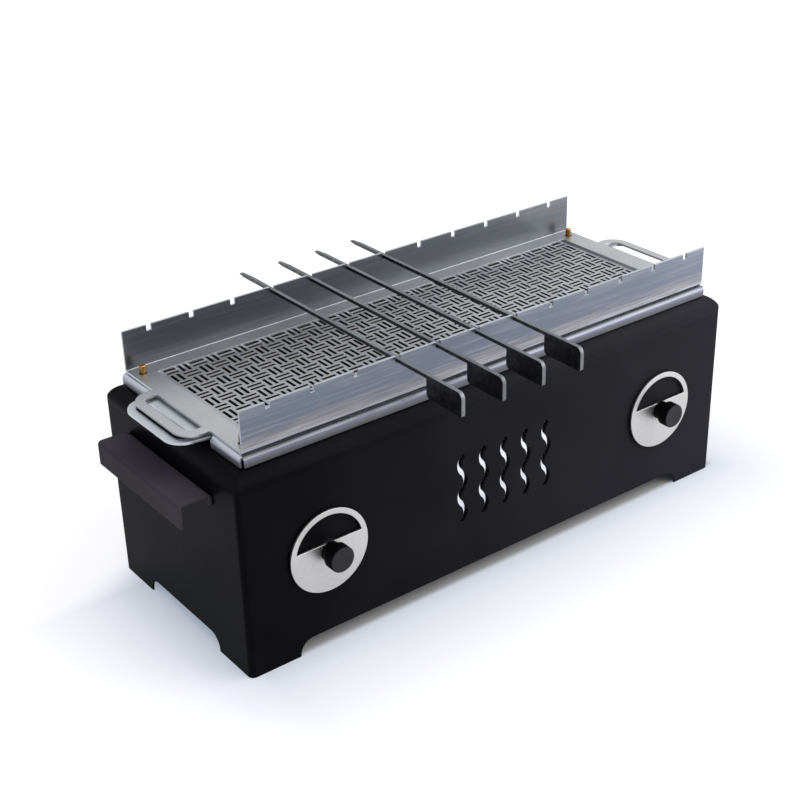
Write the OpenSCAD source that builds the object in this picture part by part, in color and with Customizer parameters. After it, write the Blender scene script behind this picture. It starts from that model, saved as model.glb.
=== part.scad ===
// Charcoal table grill. An insulated steel casing holds a charcoal bed over an
// ash space, two rotary dampers in its front let air in below the charcoal, a
// basket-weave grill plate lies on top, and a lift-off rack on it carries skewers.

/* [Casing] */
// Length of the casing, left to right
shell_l = 584; // [540:1:640]
// Depth of the casing, front to back
shell_w = 230; // [215:1:260]
// Height of the casing above the table
shell_h = 203; // [190:1:230]
// Thickness of the casing's sheet
shell_t = 2; // [1.5:0.1:2.5]
// Outer radius of the rolled edge round the top
roll_r = 20; // [16:0.5:24]
// Length of each foot along both of its walls
foot_l = 53; // [40:1:60]
// Height of the arches between the feet
arch_h = 15.5; // [14.5:0.5:20]
// Radius of the arches' upper corners
arch_r = 14; // [6:0.5:14]
// Depth of the turned-down lip round the top opening
lip_h = 12; // [8:0.5:16]

/* [Wave slots in the front] */
// Number of wave slots
wave_count = 5; // [3:1:7]
// Spacing of the wave slots
wave_pitch = 26; // [22:1:30]
// Width of one wave slot
wave_w = 5.2; // [3:0.1:7]
// Radius of each quarter turn of a wave
wave_r = 12; // [9:0.5:14]
// Height of the waves' middle above the table
wave_z = 103.5; // [90:0.5:115]

/* [Fire box] */
// Thickness of the base plate
base_t = 2; // [1.5:0.1:3]
// Thickness of the stainless case's sheet
case_t = 1.5; // [1:0.1:2]
// Air gap between case and casing at the front and the back
case_gap = 0.8; // [0.6:0.1:2]
// Air gap between case and casing at each end
end_gap = 12; // [11:0.5:16]
// Thickness of the insulating boards
board_t = 25; // [18:1:28]
// Height of the ledges that the charcoal grate lies on
ledge_z = 101; // [98:0.5:115]
// Leg length of the ledge angles
ledge_leg = 15; // [14:0.5:20]
// Thickness of the ledge angles
ledge_t = 2; // [1.5:0.1:3]
// Thickness of the charcoal grate
coal_t = 3; // [2:0.1:4]
// Gap between the charcoal grate and the boards, on each side
coal_gap_l = 6.2; // [4:0.1:8]
// Gap between the charcoal grate and the boards, front and back
coal_gap_w = 3.4; // [3:0.1:6]
// Width of the charcoal grate's slots
coal_slot_w = 8; // [6:0.5:10]
// Length of the charcoal grate's slots
coal_slot_l = 66; // [50:1:68]
// Spacing of the charcoal grate's slots
coal_pitch = 20; // [14:1:24]

/* [Dampers] */
// Distance of each damper from the middle of the front
damper_x = 205.5; // [150:0.5:210]
// Height of the dampers' turning axis
damper_z = 101; // [95:0.5:106]
// Diameter of the damper disc
disc_d = 82; // [74:1:84]
// Thickness of the damper disc
disc_t = 2; // [1.5:0.1:3]
// Width of the disc's rim outside its window
rim_w = 5.3; // [4:0.1:8]
// Distance of the window's straight edge from the axis
window_rise = 8.3; // [7.2:0.1:9.5]
// Lap of the disc round the closed air port
port_lap = 2.7; // [2:0.1:5]
// Distance between the edges of window and port when fully open
port_step = 1.7; // [1:0.1:4]
// Diameter of the spindle
spindle_d = 6; // [5:0.1:6.5]
// Diameter of the spacer behind the disc
spacer_d = 20; // [16:0.5:22]
// Thickness of the spacer behind the disc
spacer_t = 2; // [1.5:0.1:3]
// Diameter of the knob's neck
neck_d = 19; // [14:0.5:20]
// Length of the knob's neck
neck_l = 7.9; // [6:0.1:10]
// Diameter of the knob's head
head_d = 25; // [22:0.5:28]
// Length of the knob's head
head_l = 11.6; // [9:0.1:14]
// Radius of the knob's edges
knob_edge_r = 1.4; // [0.6:0.1:2]

/* [Grill plate] */
// Distance of the plate's ends from the casing's ends
grate_inset_l = 13.5; // [12:0.5:16]
// Distance of the plate's long sides from the casing's front and back
grate_inset_w = 10.5; // [9:0.5:12]
// Height of the plate's top above the casing
grate_rise = 10.2; // [9:0.1:14]
// Thickness of the plate's sheet
grate_t = 2.2; // [1.5:0.1:2.5]
// Outer radius of the plate's bends
grate_bend_r = 5; // [4:0.5:6]
// Side of the open notch at each corner of the flange
corner_notch = 3; // [2:0.5:4]
// Length of a slot of the basket weave
slot_l = 15; // [12:0.1:18]
// Width of a slot of the basket weave
slot_w = 3.1; // [2.5:0.1:4]
// Width of the bars between the slots
slot_bar = 3.05; // [2.5:0.05:4]
// Distance of the perforated field from the boards at the ends
field_margin_l = 3.8; // [2:0.1:10]
// Distance of the perforated field from the boards, front and back
field_margin_w = 4.9; // [3:0.1:10]
// Thickness of the tongue handles
tongue_t = 2.5; // [2:0.1:3]
// Width of the tongue handles
tongue_w = 108; // [100:1:116]
// Reach of the tongue handles beyond the plate's ends
tongue_out = 33.5; // [30:0.5:40]
// Lap of the tongue handles under the plate
tongue_lap = 11.5; // [8:0.5:14]
// Radius of the tongues' outer corners
tongue_r = 25; // [15:0.5:25]
// Width of the bar outside the finger slot
grip_w = 10.5; // [8:0.5:12]
// Width of the finger slots
finger_w = 14.5; // [13.5:0.5:15]
// Length of the finger slots
finger_l = 84; // [70:1:88]
// Radius of the finger slots' outer corners
finger_r = 12.5; // [8:0.5:13]

/* [Locating pins] */
// Diameter of the pins
pin_d = 6; // [5:0.1:7]
// Distance of the pins from the plate's ends
pin_inset_l = 13.5; // [12.5:0.5:15]
// Distance of the pins from the plate's long sides
pin_inset_w = 19; // [16:0.5:22]
// Height of the pins above the plate
pin_up = 10.3; // [8:0.1:16]
// Length of the pins below the casing's top face
pin_down = 4; // [3:0.1:6]
// Diameter of the pins' collar under the plate
collar_d = 10; // [9:0.5:12]
// Thickness of the collar
collar_t = 1.5; // [1:0.1:2]
// Chamfer of the pins' ends
pin_chamfer = 0.6; // [0.3:0.1:1]

/* [Skewer rack] */
// Distance of the rack's ends from the plate's ends
rack_inset_l = 3.5; // [2:0.5:6]
// Distance of the rack's walls from the plate's long sides
rack_inset_w = 3.25; // [2:0.25:5]
// Height of the rack's walls
rack_h = 41.4; // [32:0.1:60]
// Thickness of the rack's sheet
rack_t = 2.4; // [2:0.1:2.8]
// Outer radius of the rack's bends
rack_bend_r = 3; // [3:0.1:4]
// Width of the rack's floor outside its opening, at the ends
rack_rim_l = 22; // [18:0.5:30]
// Width of the rack's floor outside its opening, front and back
rack_rim_w = 21.25; // [18:0.25:28]
// Spacing of the skewer notches
notch_pitch = 45; // [30:0.5:60]
// Width of the skewer notches
notch_w = 5; // [4:0.1:7]
// Depth of the skewer notches
notch_d = 6; // [4:0.1:9]
// Width of the rack's tongues
rack_tongue_w = 99; // [90:1:104]
// Reach of the rack's tongues
rack_tongue_out = 30; // [28:0.5:34]
// Distance of the rack's finger slots from its ends
rack_finger_in = 3; // [2:0.5:5]
// Length of the rack's finger slots
rack_finger_l = 77; // [60:1:80]
// Gap round the pins in the rack's floor
rack_pin_play = 0.9; // [0.5:0.1:1.5]

/* [Skewers] */
// Thickness of the skewers
skewer_t = 3; // [2:0.1:3.5]
// Height of a skewer's blade
blade_h = 5.5; // [4:0.1:8]
// Reach of the skewers in front of the casing's middle
skewer_front = 190; // [180:1:220]
// Reach of the skewers behind the casing's middle
skewer_back = 156; // [140:1:200]
// Length of the grip tag
tag_l = 47.5; // [36:0.5:48]
// Height of the grip tag
tag_h = 24.2; // [18:0.1:30]
// Radius of the tag's upper outer corner
tag_top_r = 6; // [3:0.5:8]
// Radius of the tag's lower inner corner
tag_in_r = 5; // [2:0.5:8]
// Radius of the tag's lower outer corner
tag_out_r = 2; // [1:0.5:8]
// Length of the point along the top edge
tip_l = 18; // [10:1:30]
// Length of the point along the lower edge
tip_low_l = 8; // [4:1:9]
// Radius of the nose of the point
nose_r = 1; // [0.5:0.1:1.5]
// Notch, counted from the left, that holds the first skewer
first_notch = 4; // [1:1:5]

/* [Carry handles] */
// Length of the carry handles along the ends
handle_l = 146; // [110:1:180]
// Reach of the carry handles from the casing's ends
handle_out = 31.7; // [26:0.1:40]
// Distance of the carry handles below the casing's top
handle_drop = 32.5; // [26:0.5:45]
// Thickness of the carry handles' sheet
handle_t = 2.5; // [2:0.1:3]
// Height of the handles' outer lip
handle_lip_h = 23.7; // [18:0.1:30]
// Height of the handles' flange on the casing
handle_flange_h = 11.2; // [11:0.1:15]
// Outer radius of the handles' bends
handle_bend_r = 4; // [3.6:0.1:4]
// Distance between the screws of a handle
handle_screw_gap = 90; // [60:1:100]

/* [Hidden] */
$fn = 64;

// Overrun of every cut past the face it opens
cut = 1;
// Gap of a shaft that turns or slides in its bore, on the radius
running_fit = 0.08;
// Gap of a shaft that is fixed in its bore, on the radius
fixed_fit = 0.02;
// Gap under a piece that lies loose on a flat seat
rest_gap = 0.1;
// Gap between the plate's end flanges and the casing's rolled edge
seat_gap = 0.3;
// Play of the base plate inside the casing, all round
base_play = 0.5;
// Gap between the insulating boards and what holds them
board_gap = 0.3;
// Distance of the top opening's edge outside the fire zone
opening_margin = 1;
// Gap between the boards' top and the lip
lip_gap = 0.5;
// Height of the case's wall above the start of the rolled edge
case_rise = 3;
// Play of the locating pins in the casing's holes, on the radius
pin_play = 0.3;
// Shortest piece of a slot that is still cut at the field's edge
slot_least = 1;
// Gap between a tongue handle and the ends of the flange beside it
tongue_gap = 1;

// Screws and nuts of 4 mm thread, for the base and the carry handles
m4_d = 4;
m4_head_d = 7;
m4_head_h = 2.4;
m4_key = 2.5;
m4_nut = 7;
m4_nut_h = 3.2;
// Bolts and nuts of 5 mm thread, for the ledges
m5_d = 5;
m5_head_d = 8.5;
m5_head_h = 2.8;
m5_key = 3;
m5_nut = 8;
m5_nut_h = 4;
// Nuts on the dampers' spindles
spindle_nut = 10;
spindle_nut_h = 5;
// Gap round a screw in its hole, on the radius
screw_play = 0.15;
// Length of thread that stands out past a nut
screw_tail = 1;
// Gap between a screw's head and the bend above it
head_gap = 0.1;

bracket_l = 30;
bracket_h = 16;
bracket_t = 3;
// Gap between the bracket's leg and the case
bracket_gap = 1;
// Distance of the brackets from the ends' middle
bracket_y = 70;
// Length of thread above the bracket's leg
base_screw_tail = 4;

ledge_l_gap = 5;
ledge_bolt_y = 50;

washer_d = 14;
washer_t = 1.6;
// Radius of the pocket round the spindle's nut
pocket_r = 9;
// Gap behind the spindle's end in its pocket
pocket_gap = 1;
// Length of the spindle inside the knob
knob_grip = 14;

// Inside of the casing
room_l = shell_l - 2 * shell_t;
room_w = shell_w - 2 * shell_t;
// Outside of the stainless case
case_l = room_l - 2 * end_gap;
case_w = room_w - 2 * case_gap;
// Outside of the ring of boards
boards_l = case_l - 2 * case_t - 2 * board_gap;
boards_w = case_w - 2 * case_t - 2 * board_gap;
// Fire zone inside the boards
zone_l = boards_l - 2 * board_t;
zone_w = boards_w - 2 * board_t;
opening_l = zone_l + 2 * opening_margin;
opening_w = zone_w + 2 * opening_margin;

// Heights above the table
base_z = arch_h + base_play;
case_z = base_z + base_t;
floor_z = case_z + case_t;
wall_z = floor_z + board_t;
lip_z = shell_h - lip_h;
boards_top = lip_z - lip_gap;
case_top = shell_h - roll_r + case_rise;
coal_z = ledge_z + rest_gap;

// Height of each quarter turn of a wave, and the number of facets round it
wave_step = wave_r * sqrt(2);
wave_facets = 10;

// Damper, measured along its axis from the front panel's face
disc_face = spacer_t + rest_gap;
knob_face = disc_face + disc_t;
washer_face = -shell_t - rest_gap;
nut_face = washer_face - washer_t - rest_gap;
spindle_end = nut_face - spindle_nut_h - screw_tail;
pocket_end = spindle_end - pocket_gap;
window_r = disc_d / 2 - rim_w;
port_r = window_r - port_lap;
port_drop = window_rise + port_step;

// Grill plate
grate_l = shell_l - 2 * grate_inset_l;
grate_w = shell_w - 2 * grate_inset_w;
grate_z = shell_h + grate_rise;
flat_l = grate_l - 2 * grate_bend_r;
// Height of the casing's rolled edge at a distance x from the middle
function roll_z(x) =
    shell_h - roll_r + sqrt(roll_r ^ 2 - max(0, x - shell_l / 2 + roll_r) ^ 2);
flange_z = roll_z(grate_l / 2 - grate_t) + seat_gap;
field_l = zone_l - 2 * field_margin_l;
field_w = zone_w - 2 * field_margin_w;
pin_x = grate_l / 2 - pin_inset_l;
pin_y = grate_w / 2 - pin_inset_w;

// Basket weave: square cells hold pairs of slots that turn by a right angle
weave_cell = (slot_l + 2 * slot_w + 3 * slot_bar) / 2;
weave_twin = (slot_w + slot_bar) / 2;
weave_cols = floor((field_l + slot_l) / 2 / weave_cell);
weave_rows = floor((field_w + slot_l) / 2 / weave_cell);

// Rack and skewers
rack_l = grate_l - 2 * rack_inset_l;
rack_w = grate_w - 2 * rack_inset_w;
rack_z = grate_z + rest_gap;
rack_top = rack_z + rack_h;
notch_count = 2 * floor(rack_l / 2 / notch_pitch);
blade_z = rack_top - notch_d + rest_gap;
blade_top = blade_z + blade_h;

// Carry handles
handle_z = shell_h - handle_drop;
handle_screw_z = handle_z - handle_bend_r - m4_head_d / 2 - head_gap;

// Distance that puts the origin under the middle of the whole grill
body_y = (skewer_front - skewer_back) / 2;

// Places a piece that is drawn round the casing's middle
module placed() {
    translate([0, body_y, 0]) children();
}

// Extrudes an outline of the side view along the length
module along_x(l) {
    rotate([90, 0, 90]) linear_extrude(l, center = true) children();
}

// Extrudes an outline of the front view along the depth
module along_y(l) {
    rotate([90, 0, 0]) linear_extrude(l, center = true) children();
}

// Draws a right-hand piece on the side given, -1 for left and 1 for right
module on_side(side) {
    mirror([side < 0 ? 1 : 0, 0, 0]) children();
}

// Looks at the front panel, with z pointing out of it
module in_front(x, z) {
    translate([x, -shell_w / 2, z]) rotate([90, 0, 0]) children();
}

// Looks at an end of the casing, with z pointing out of it
module at_end(side, y, z) {
    translate([side * shell_l / 2, y, z]) rotate([0, side * 90, 0]) children();
}

module at_pins() {
    for (sx = [-1, 1], sy = [-1, 1])
        translate([sx * pin_x, sy * pin_y, 0]) children();
}

// Outline with two rounded upper corners, which reaches down past y = 0 by drop
module arched(w, h, r, drop = 0) {
    translate([-w / 2, -drop]) square([w, h - r + drop]);
    translate([r - w / 2, -drop]) square([w - 2 * r, h + drop]);
    for (side = [-1, 1])
        translate([side * (w / 2 - r), h - r]) circle(r);
}

// Block with rolled upper edges that meet in mitres
module rolled_block(l, w, h, r, drop = 0) {
    intersection() {
        along_y(w) arched(l, h, r, drop);
        along_x(l) arched(w, h, r, drop);
    }
}

// Socket-head screw with the underside of its head on z = 0 and its point down
module screw(d, l, head_d, head_h, key) {
    difference() {
        union() {
            cylinder(h = head_h, d = head_d);
            translate([0, 0, -l]) cylinder(h = l, d = d);
        }
        translate([0, 0, head_h / 2]) linear_extrude(head_h) hexagon(key);
    }
}

// Hexagon measured across its flats
module hexagon(flats) {
    circle(d = flats / cos(30), $fn = 6);
}

module nut(flats, h, d) {
    linear_extrude(h) difference() {
        hexagon(flats);
        circle(d / 2 + fixed_fit);
    }
}

// Half-moon on the far side of a chord
module half_moon(r, chord) {
    intersection() {
        circle(r);
        translate([-r, chord]) square([2 * r, r]);
    }
}

// Air port of a damper, seen from the front
module port() {
    rotate(180) half_moon(port_r, port_drop);
}

// Point on an edge of a wave's quarter turn k, on the right where side is 1
function wave_point(k, side, angle) =
    let (bow = k % 2 == 0 ? 1 : -1, r = wave_r + side * bow * wave_w / 2)
    [bow * (r * cos(angle) - wave_step / 2), (k - 3 / 2) * wave_step + r * sin(angle)];

// Point on the round end of a wave, the upper end where side is 1
function wave_end(side, angle) =
    [wave_w / 2 * cos(angle), side * 2 * wave_step + wave_w / 2 * sin(angle)];

// Upright slot that winds through four quarter turns, with round ends
module wave() {
    turn = 90 / wave_facets;
    polygon([
        for (k = [0:3], i = [0:wave_facets - 1]) wave_point(k, 1, i * turn - 45),
        for (i = [0:wave_facets - 1]) wave_end(1, 2 * i * turn - 45),
        for (k = [3:-1:0], i = [0:wave_facets - 1]) wave_point(k, -1, 45 - i * turn),
        for (i = [0:wave_facets - 1]) wave_end(-1, 2 * i * turn + 135)]);
}

module outer_shell() {
    color("#242327") placed() difference() {
        union() {
            difference() {
                rolled_block(shell_l, shell_w, shell_h, roll_r);
                rolled_block(room_l, room_w, shell_h - shell_t, roll_r - shell_t, cut);
            }
            translate([0, 0, lip_z]) linear_extrude(lip_h - shell_t / 2)
                square([opening_l + 2 * shell_t, opening_w + 2 * shell_t], center = true);
        }
        translate([0, 0, lip_z - cut]) linear_extrude(lip_h + 2 * cut)
            square([opening_l, opening_w], center = true);
        along_y(shell_w + 2 * cut) arched(shell_l - 2 * foot_l, arch_h, arch_r, cut);
        along_x(shell_l + 2 * cut) arched(shell_w - 2 * foot_l, arch_h, arch_r, cut);
        for (side = [-1, 1])
            in_front(side * damper_x, damper_z) translate([0, 0, -shell_t - cut])
                linear_extrude(shell_t + 2 * cut) {
                    port();
                    circle(spindle_d / 2 + running_fit);
                }
        for (k = [0:wave_count - 1])
            in_front((k - (wave_count - 1) / 2) * wave_pitch, wave_z)
                translate([0, 0, -shell_t - cut]) linear_extrude(shell_t + 2 * cut) wave();
        at_pins() translate([0, 0, shell_h - shell_t - cut])
            cylinder(h = shell_t + 2 * cut, r = pin_d / 2 + pin_play);
        handle_holes(shell_t);
    }
}

// Holes for the carry handles' screws, through the end walls
module handle_holes(depth) {
    for (side = [-1, 1], sy = [-1, 1])
        at_end(side, sy * handle_screw_gap / 2, handle_screw_z)
            translate([0, 0, -depth - cut])
                cylinder(h = depth + handle_t + 2 * cut, r = m4_d / 2 + screw_play);
}

// Places of the four screws that hold the base
module at_base_screws() {
    bracket_w = end_gap - bracket_gap;
    for (sx = [-1, 1], sy = [-1, 1])
        translate([sx * (room_l - bracket_w - bracket_t) / 2, sy * bracket_y, base_z]) children();
}

module base_plate() {
    color("#3A3A3D") placed() difference() {
        translate([0, 0, base_z]) linear_extrude(base_t)
            square([room_l - 2 * base_play, room_w - 2 * base_play], center = true);
        at_base_screws() translate([0, 0, -cut])
            cylinder(h = base_t + 2 * cut, r = m4_d / 2 + screw_play);
    }
}

module base_brackets() {
    bracket_w = end_gap - bracket_gap;
    color("#8C8E92") placed() difference() {
        for (side = [-1, 1], sy = [-1, 1])
            on_side(side) translate([room_l / 2, sy * bracket_y, case_z]) along_y(bracket_l)
                difference() {
                    translate([-bracket_w, 0]) square([bracket_w, bracket_h]);
                    translate([-bracket_w - bracket_t, bracket_t]) square([bracket_w, bracket_h]);
                }
        at_base_screws() cylinder(h = base_t + bracket_t + cut, r = m4_d / 2 + fixed_fit);
    }
}

module base_screws() {
    color("#B4B6B8") placed() at_base_screws()
        mirror([0, 0, 1])
            screw(m4_d, base_t + bracket_t + base_screw_tail, m4_head_d, m4_head_h, m4_key);
}

// Port and nut pocket of each damper, from inside the front panel to the fire zone
module damper_ways() {
    for (side = [-1, 1])
        in_front(side * damper_x, damper_z) {
            translate([0, 0, (zone_w - shell_w) / 2 - cut])
                linear_extrude((shell_w - zone_w) / 2) port();
            translate([0, 0, pocket_end])
                cylinder(h = -pocket_end - shell_t, r = pocket_r);
        }
}

// Holes for the ledges' bolts, through boards and case at both ends
module ledge_bolt_holes(r) {
    at_ledge_bolts() translate([0, 0, -board_t - end_gap])
        cylinder(h = board_t + 2 * end_gap, r = r);
}

// Places of the ledges' bolts, with z pointing into the fire zone
module at_ledge_bolts() {
    for (side = [-1, 1], sy = [-1, 1])
        translate([side * (zone_l / 2 - ledge_t), sy * ledge_bolt_y, ledge_z - (ledge_leg + ledge_t) / 2])
            rotate([0, -side * 90, 0]) children();
}

module inner_case() {
    color("#D6D8DC") placed() difference() {
        translate([0, 0, case_z]) linear_extrude(case_top - case_z)
            square([case_l, case_w], center = true);
        translate([0, 0, floor_z]) linear_extrude(case_top - floor_z + cut)
            square([case_l - 2 * case_t, case_w - 2 * case_t], center = true);
        damper_ways();
        ledge_bolt_holes(m5_d / 2 + screw_play);
    }
}

module floor_board() {
    color("#CFC6B4") placed() translate([0, 0, floor_z]) linear_extrude(board_t)
        square([boards_l, boards_w], center = true);
}

// Board along the back, or along the front where side is -1
module long_board(side) {
    translate([0, side * (boards_w - board_t) / 2, wall_z]) linear_extrude(boards_top - wall_z)
        square([boards_l, board_t], center = true);
}

module front_board() {
    color("#CFC6B4") placed() difference() {
        long_board(-1);
        damper_ways();
    }
}

module rear_board() {
    color("#CFC6B4") placed() long_board(1);
}

module end_board(side) {
    color("#CFC6B4") placed() difference() {
        translate([side * (boards_l - board_t) / 2, 0, wall_z]) linear_extrude(boards_top - wall_z)
            square([board_t, zone_w - 2 * board_gap], center = true);
        ledge_bolt_holes(m5_d / 2 + screw_play);
    }
}

module grate_ledge(side) {
    color("#77797C") placed() difference() {
        on_side(side) translate([zone_l / 2, 0, ledge_z]) along_y(zone_w - 2 * ledge_l_gap)
            difference() {
                translate([-ledge_leg, -ledge_leg]) square(ledge_leg);
                translate([-ledge_leg - ledge_t, -ledge_leg - ledge_t]) square(ledge_leg);
            }
        ledge_bolt_holes(m5_d / 2 + screw_play);
    }
}

// Thickness that a ledge's bolt holds together
ledge_grip = ledge_t + board_t + board_gap + case_t;

module ledge_bolts() {
    color("#B4B6B8") placed() at_ledge_bolts()
        screw(m5_d, ledge_grip + m5_nut_h + screw_tail, m5_head_d, m5_head_h, m5_key);
}

module ledge_nuts() {
    color("#B4B6B8") placed() at_ledge_bolts()
        translate([0, 0, -ledge_grip - m5_nut_h]) nut(m5_nut, m5_nut_h, m5_d);
}

module charcoal_grate() {
    coal_l = zone_l - 2 * coal_gap_l;
    coal_w = zone_w - 2 * coal_gap_w;
    bars = floor((coal_l / 2 - ledge_leg - coal_slot_w / 2) / coal_pitch - 1 / 2);
    color("#4A4643") placed() translate([0, 0, coal_z]) linear_extrude(coal_t) difference() {
        square([coal_l, coal_w], center = true);
        for (k = [-bars - 1:bars], sy = [-1, 1])
            translate([(k + 1 / 2) * coal_pitch, sy * coal_w / 4])
                square([coal_slot_w, coal_slot_l], center = true);
    }
}

module carry_handle(side) {
    color("#2B292B") placed() difference() {
        on_side(side) translate([(shell_l + handle_out) / 2, 0, handle_z - handle_lip_h])
            along_y(handle_l) difference() {
                arched(handle_out, handle_lip_h, handle_bend_r);
                arched(handle_out - 2 * handle_t, handle_lip_h - handle_t,
                    handle_bend_r - handle_t, cut);
                translate([-handle_out / 2 - cut, -cut])
                    square([handle_t + 2 * cut, handle_lip_h - handle_flange_h + cut]);
            }
        handle_holes(shell_t);
    }
}

module at_handle_screws() {
    for (side = [-1, 1], sy = [-1, 1])
        at_end(side, sy * handle_screw_gap / 2, handle_screw_z) children();
}

module handle_screws() {
    color("#B4B6B8") placed() at_handle_screws() translate([0, 0, handle_t])
        screw(m4_d, handle_t + shell_t + m4_nut_h + screw_tail, m4_head_d, m4_head_h, m4_key);
}

module handle_nuts() {
    color("#B4B6B8") placed() at_handle_screws()
        translate([0, 0, -shell_t - m4_nut_h]) nut(m4_nut, m4_nut_h, m4_d);
}

// Ring round the dampers' axis
module ring(d, bore_r, h) {
    linear_extrude(h) difference() {
        circle(d / 2);
        circle(bore_r);
    }
}

module damper_spacers() {
    color("#2B292B") placed() for (side = [-1, 1])
        in_front(side * damper_x, damper_z) ring(spacer_d, spindle_d / 2 + running_fit, spacer_t);
}

module damper_spring_washers() {
    color("#9A9CA0") placed() for (side = [-1, 1])
        in_front(side * damper_x, damper_z) translate([0, 0, washer_face - washer_t])
            ring(washer_d, spindle_d / 2 + running_fit, washer_t);
}

module damper_disc(side) {
    color("#BDBDBA") placed() in_front(side * damper_x, damper_z)
        translate([0, 0, disc_face]) linear_extrude(disc_t) difference() {
            circle(disc_d / 2);
            half_moon(window_r, window_rise);
            circle(spindle_d / 2 + fixed_fit);
        }
}

// Half outline of the knob, which turns round the y axis
module knob_outline() {
    difference() {
        union() {
            square([neck_d / 2, neck_l + knob_edge_r]);
            translate([0, neck_l]) square([head_d / 2 - knob_edge_r, head_l]);
            translate([0, neck_l + knob_edge_r])
                square([head_d / 2, head_l - 2 * knob_edge_r]);
            for (y = [knob_edge_r, head_l - knob_edge_r])
                translate([head_d / 2 - knob_edge_r, neck_l + y]) circle(knob_edge_r);
        }
        translate([0, -cut]) square([spindle_d / 2 + fixed_fit, knob_grip + cut]);
    }
}

module damper_knob(side) {
    color("#2C2D35") placed() in_front(side * damper_x, damper_z)
        translate([0, 0, knob_face]) rotate_extrude() knob_outline();
}

module damper_spindle(side) {
    color("#9A9CA0") placed() in_front(side * damper_x, damper_z)
        translate([0, 0, spindle_end])
            cylinder(h = knob_face + knob_grip - spindle_end, d = spindle_d);
}

module damper_nut(side) {
    color("#B4B6B8") placed() in_front(side * damper_x, damper_z)
        translate([0, 0, nut_face - spindle_nut_h]) nut(spindle_nut, spindle_nut_h, spindle_d);
}

// Edges of one slot, cut off at the edge of the field: left, right, front, back
function slot(x, y, w, h) = [
    max(x - w / 2, -field_l / 2), min(x + w / 2, field_l / 2),
    max(y - h / 2, -field_w / 2), min(y + h / 2, field_w / 2)];

function pair(i, j, side) = (i + j) % 2 == 0
    ? slot(i * weave_cell + side * weave_twin, j * weave_cell, slot_w, slot_l)
    : slot(i * weave_cell, j * weave_cell + side * weave_twin, slot_l, slot_w);

// Slots of the basket weave, each a rectangle that may be cut short by the field's edge
module weave_slots() {
    for (i = [-weave_cols:weave_cols], j = [-weave_rows:weave_rows], side = [-1, 1]) {
        s = pair(i, j, side);
        if (min(s[1] - s[0], s[3] - s[2]) > slot_least)
            translate([s[0], s[2]]) square([s[1] - s[0], s[3] - s[2]]);
    }
}

module grill_plate() {
    depth = grate_z - flange_z;
    color("#8F9296") placed() difference() {
        translate([0, 0, flange_z]) rolled_block(grate_l, grate_w, depth, grate_bend_r);
        translate([0, 0, flange_z])
            rolled_block(grate_l - 2 * grate_t, grate_w - 2 * grate_t, depth - grate_t,
                grate_bend_r - grate_t, cut);
        for (sx = [-1, 1]) {
            translate([sx * (flat_l / 2 + grate_bend_r), 0, flange_z - cut])
                linear_extrude(depth + 2 * cut)
                    square([2 * grate_bend_r, tongue_w + 2 * tongue_gap], center = true);
            for (sy = [-1, 1])
                translate([sx * grate_l / 2, sy * grate_w / 2, flange_z - cut])
                    linear_extrude(depth + 2 * cut) square(2 * corner_notch, center = true);
        }
        at_pins() translate([0, 0, flange_z]) cylinder(h = depth + cut, r = pin_d / 2 + fixed_fit);
        translate([0, 0, grate_z - grate_t - cut]) linear_extrude(grate_t + 2 * cut) weave_slots();
    }
}

// Tongue with a finger slot, its root on x = 0
module tongue(out, w, slot_from, slot_w, slot_l) {
    difference() {
        rotate(-90) arched(w, out, tongue_r);
        translate([slot_from, 0]) rotate(-90) arched(slot_l, slot_w, finger_r);
    }
}

module grate_handle(side) {
    out = tongue_lap + grate_bend_r + tongue_out;
    color("#B5B7B3") placed() on_side(side)
        translate([flat_l / 2 - tongue_lap, 0, grate_z - grate_t - tongue_t])
            linear_extrude(tongue_t)
                tongue(out, tongue_w, out - grip_w - finger_w, finger_w, finger_l);
}

// Pins that find the casing's holes below and the rack's holes above
module locating_pins() {
    low = shell_h - pin_down;
    high = grate_z + pin_up;
    color("#C27A3A") placed() at_pins() rotate_extrude() {
        polygon([
            [0, low], [pin_d / 2 - pin_chamfer, low], [pin_d / 2, low + pin_chamfer],
            [pin_d / 2, high - pin_chamfer], [pin_d / 2 - pin_chamfer, high], [0, high]]);
        translate([0, grate_z - grate_t - collar_t]) square([collar_d / 2, collar_t]);
    }
}

module skewer_rack() {
    color("#9DA3AB") placed() difference() {
        union() {
            translate([0, 0, rack_z]) along_x(rack_l) difference() {
                translate([0, rack_h]) rotate(180) arched(rack_w, rack_h, rack_bend_r);
                translate([0, rack_h]) rotate(180)
                    arched(rack_w - 2 * rack_t, rack_h - rack_t, rack_bend_r - rack_t, cut);
            }
            for (side = [-1, 1])
                on_side(side) translate([rack_l / 2, 0, rack_z]) linear_extrude(rack_t)
                    tongue(rack_tongue_out, rack_tongue_w, rack_finger_in, finger_w, rack_finger_l);
        }
        translate([0, 0, rack_z - cut]) linear_extrude(rack_t + 2 * cut)
            square([rack_l - 2 * rack_rim_l, rack_w - 2 * rack_rim_w], center = true);
        at_pins() translate([0, 0, rack_z - cut])
            cylinder(h = rack_t + 2 * cut, r = pin_d / 2 + rack_pin_play);
        for (k = [1:notch_count])
            translate([notch_x(k), 0, rack_top]) along_y(rack_w + 2 * cut)
                square([notch_w, 2 * notch_d], center = true);
    }
}

// Middle of a notch, counted from the left
function notch_x(k) = (k - (notch_count + 1) / 2) * notch_pitch;

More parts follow.
